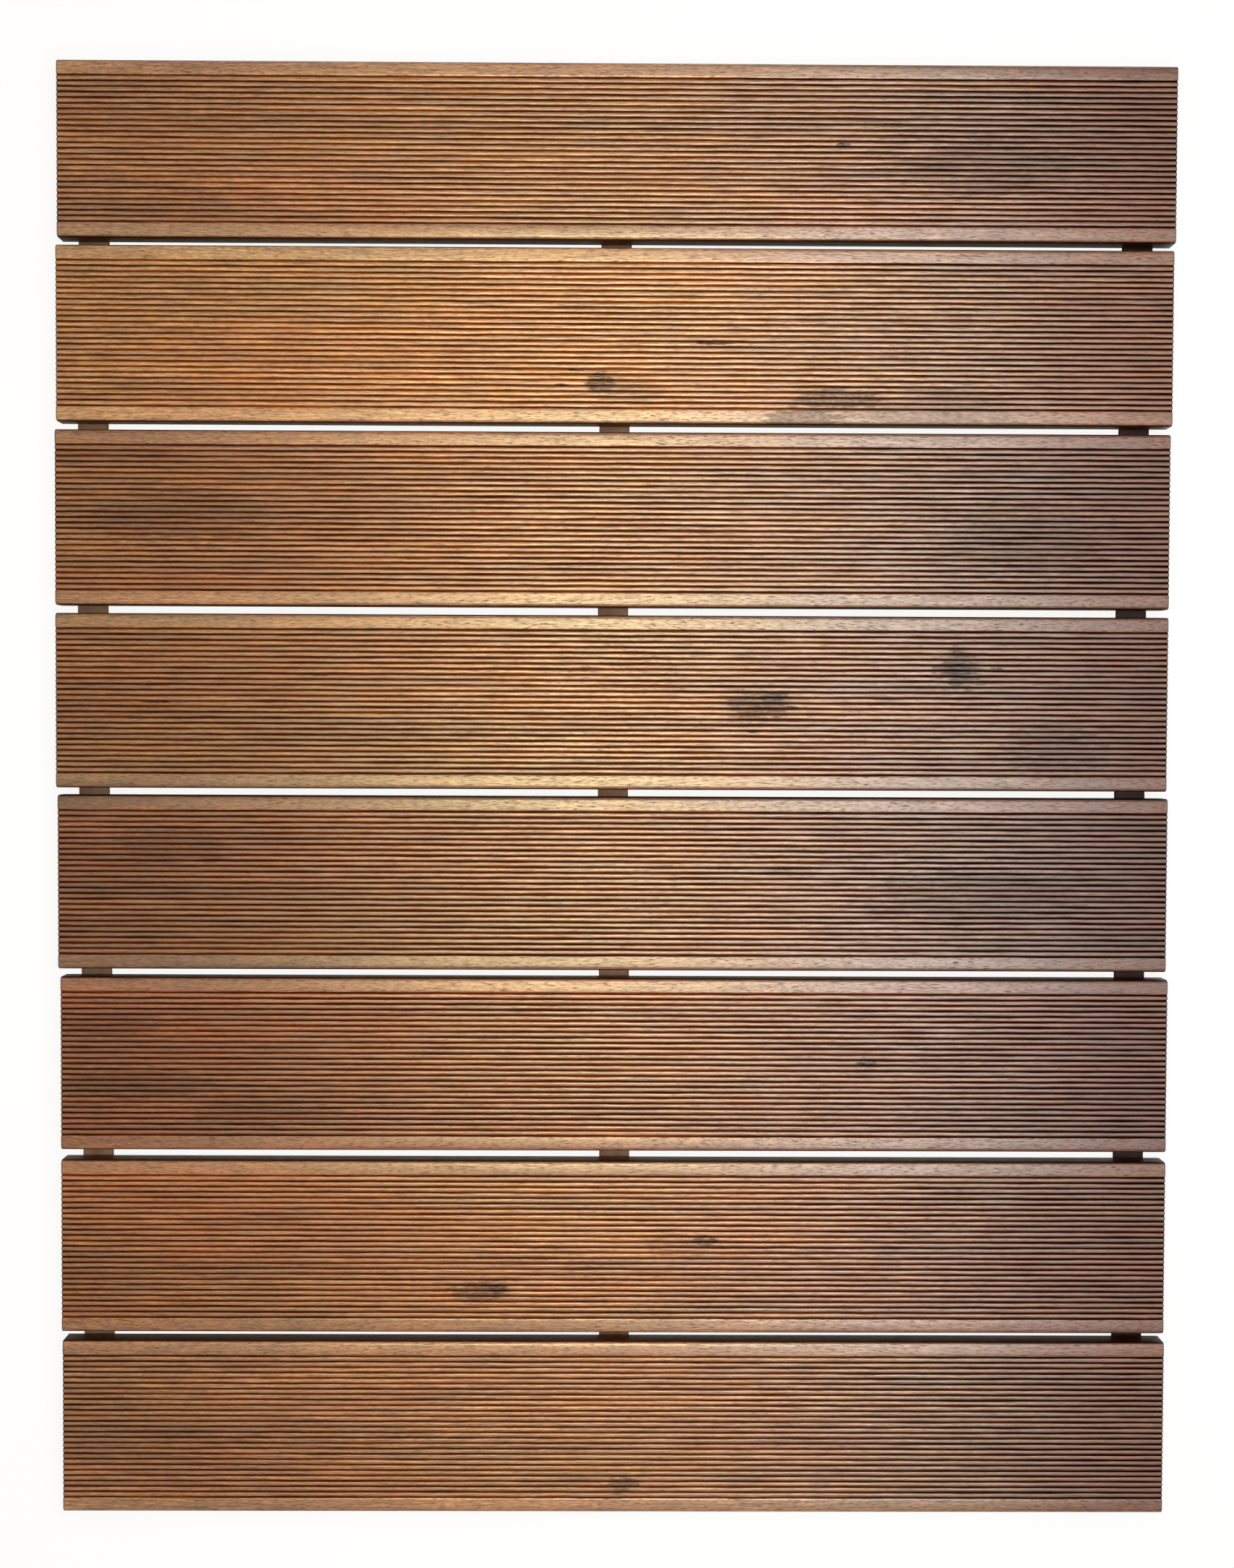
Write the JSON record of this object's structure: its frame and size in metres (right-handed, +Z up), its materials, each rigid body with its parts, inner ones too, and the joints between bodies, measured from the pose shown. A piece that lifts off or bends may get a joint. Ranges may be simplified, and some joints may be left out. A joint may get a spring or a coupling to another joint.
{
  "type": "wood deck tile",
  "caption": "Rectangular outdoor deck tile: reeded hardwood slats with drain gaps between them, screwed from below to thin bearer strips.",
  "frame": {"origin": "middle of the tile's overall footprint, on the ground under the bearer strips", "axes": "+X along the slats, +Y across the slats along the tile's long side, +Z up out of the walking face"},
  "size_m": [0.768, 0.9994, 0.023],
  "materials": {
    "slat_wood": "oiled, satin, with open grain",
    "bearer_plastic": "dark brown, satin",
    "screw_steel": "plain stainless"
  },
  "bodies": {
    "root": {"slat_1": "slat_wood", "slat_2": "slat_wood", "slat_3": "slat_wood", "slat_4": "slat_wood", "slat_5": "slat_wood", "slat_6": "slat_wood", "slat_7": "slat_wood", "slat_8": "slat_wood", "bearer_left": "bearer_plastic", "bearer_middle": "bearer_plastic", "bearer_right": "bearer_plastic", "screws_left": "screw_steel", "screws_middle": "screw_steel", "screws_right": "screw_steel"}
  },
  "joints": []
}
